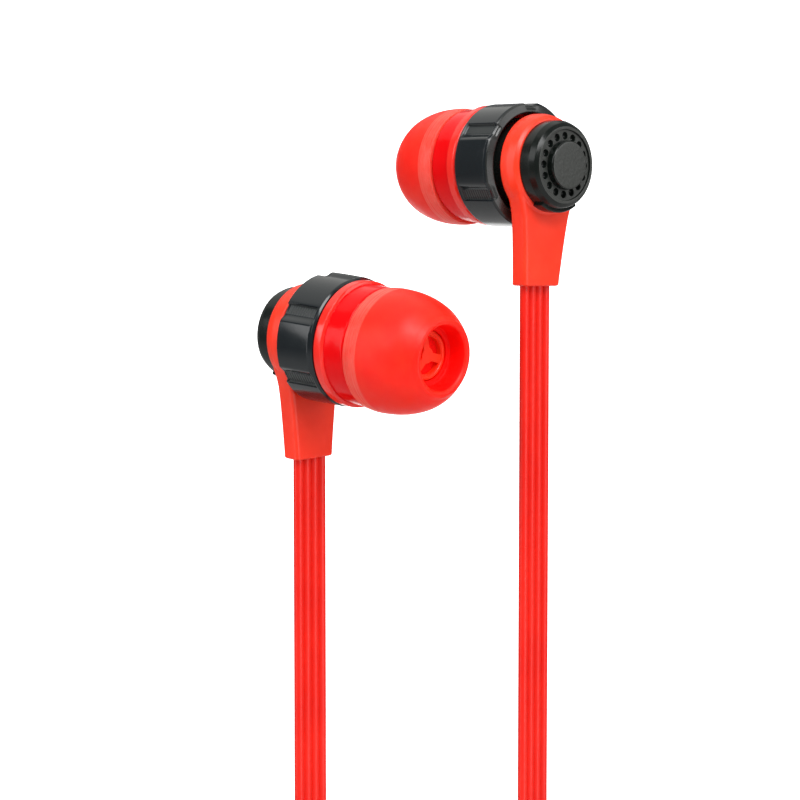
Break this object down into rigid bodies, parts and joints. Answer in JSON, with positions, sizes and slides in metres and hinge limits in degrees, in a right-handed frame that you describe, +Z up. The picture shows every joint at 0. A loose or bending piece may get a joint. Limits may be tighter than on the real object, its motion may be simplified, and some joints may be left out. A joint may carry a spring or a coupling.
{
  "type": "wired earphones",
  "caption": "Wired in-ear earphones with red silicone tips, black collars and dimpled rear caps, on a flat ribbed red cable that hangs down and ends in a tied hank with its plug.",
  "frame": {"origin": "centre of the right ear tip's front opening", "axes": "+X along the right earpiece's barrel, out of its tip and into the ear; +Z up, against the hanging cable; +Y towards the left earpiece's side"},
  "size_m": [0.0462, 0.0356, 0.1957],
  "materials": {
    "tip_silicone": "matt",
    "clear_red_plastic": "gloss",
    "red_plastic": "satin",
    "gloss_black_plastic": "gloss",
    "satin_black_plastic": "satin",
    "metal_mesh": "satin",
    "bright_steel": "satin",
    "copper_wire": "satin",
    "film": "satin",
    "damping_paper": "matt",
    "board_green": "satin",
    "cable_red": "satin",
    "black_strap": "matt",
    "black_rubber": "matt",
    "contact_gold": "polished"
  },
  "bodies": {
    "earphones": {"right_front_housing": "clear_red_plastic", "right_nozzle_filter": "metal_mesh", "right_collar": "gloss_black_plastic", "right_rear_housing": "red_plastic", "right_rear_cap": "satin_black_plastic", "right_cap_disc": "satin_black_plastic", "right_driver_frame": "satin_black_plastic", "right_yoke": "bright_steel", "right_magnet": "bright_steel", "right_pole_plate": "bright_steel", "right_surround": "film", "right_driver_cover": "metal_mesh", "right_damper": "damping_paper", "right_solder_board": "board_green", "right_inner_wires": "copper_wire", "right_cable_crimp": "bright_steel", "left_front_housing": "clear_red_plastic", "left_nozzle_filter": "metal_mesh", "left_collar": "gloss_black_plastic", "left_rear_housing": "red_plastic", "left_rear_cap": "satin_black_plastic", "left_cap_disc": "satin_black_plastic", "left_driver_frame": "satin_black_plastic", "left_yoke": "bright_steel", "left_magnet": "bright_steel", "left_pole_plate": "bright_steel", "left_surround": "film", "left_driver_cover": "metal_mesh", "left_damper": "damping_paper", "left_solder_board": "board_green", "left_inner_wires": "copper_wire", "left_cable_crimp": "bright_steel", "right_lead": "cable_red", "left_lead": "cable_red", "right_lead_hank": "cable_red", "left_lead_hank": "cable_red", "main_cable_hank": "cable_red", "splitter_front": "satin_black_plastic", "splitter_back": "satin_black_plastic", "hank_tie": "black_strap", "plug_relief": "black_rubber", "plug_grip": "gloss_black_plastic", "plug_sleeve": "contact_gold", "plug_ring": "contact_gold", "plug_tip": "contact_gold", "plug_insulators": "satin_black_plastic"},
    "right_ear_tip_body": {"right_ear_tip": "tip_silicone"},
    "left_ear_tip_body": {"left_ear_tip": "tip_silicone"},
    "right_diaphragm_body": {"right_diaphragm": "film", "right_voice_coil": "copper_wire"},
    "left_diaphragm_body": {"left_diaphragm": "film", "left_voice_coil": "copper_wire"}
  },
  "joints": [
    {"name": "right_ear_tip_pull", "type": "slide", "parent": "earphones", "child": "right_ear_tip_body", "axis": [1, 0, 0], "range_m": [0, 0.006]},
    {"name": "right_diaphragm_stroke", "type": "slide", "parent": "earphones", "child": "right_diaphragm_body", "axis": [1, 0, 0], "range_m": [-0.0002, 0.0002], "stiffness_N_per_m": 200},
    {"name": "left_ear_tip_pull", "type": "slide", "parent": "earphones", "child": "left_ear_tip_body", "axis": [-0.9927, -0.0851, -0.0854], "range_m": [0, 0.006]},
    {"name": "left_diaphragm_stroke", "type": "slide", "parent": "earphones", "child": "left_diaphragm_body", "axis": [-0.9927, -0.0851, -0.0854], "range_m": [-0.0002, 0.0002], "stiffness_N_per_m": 200}
  ]
}
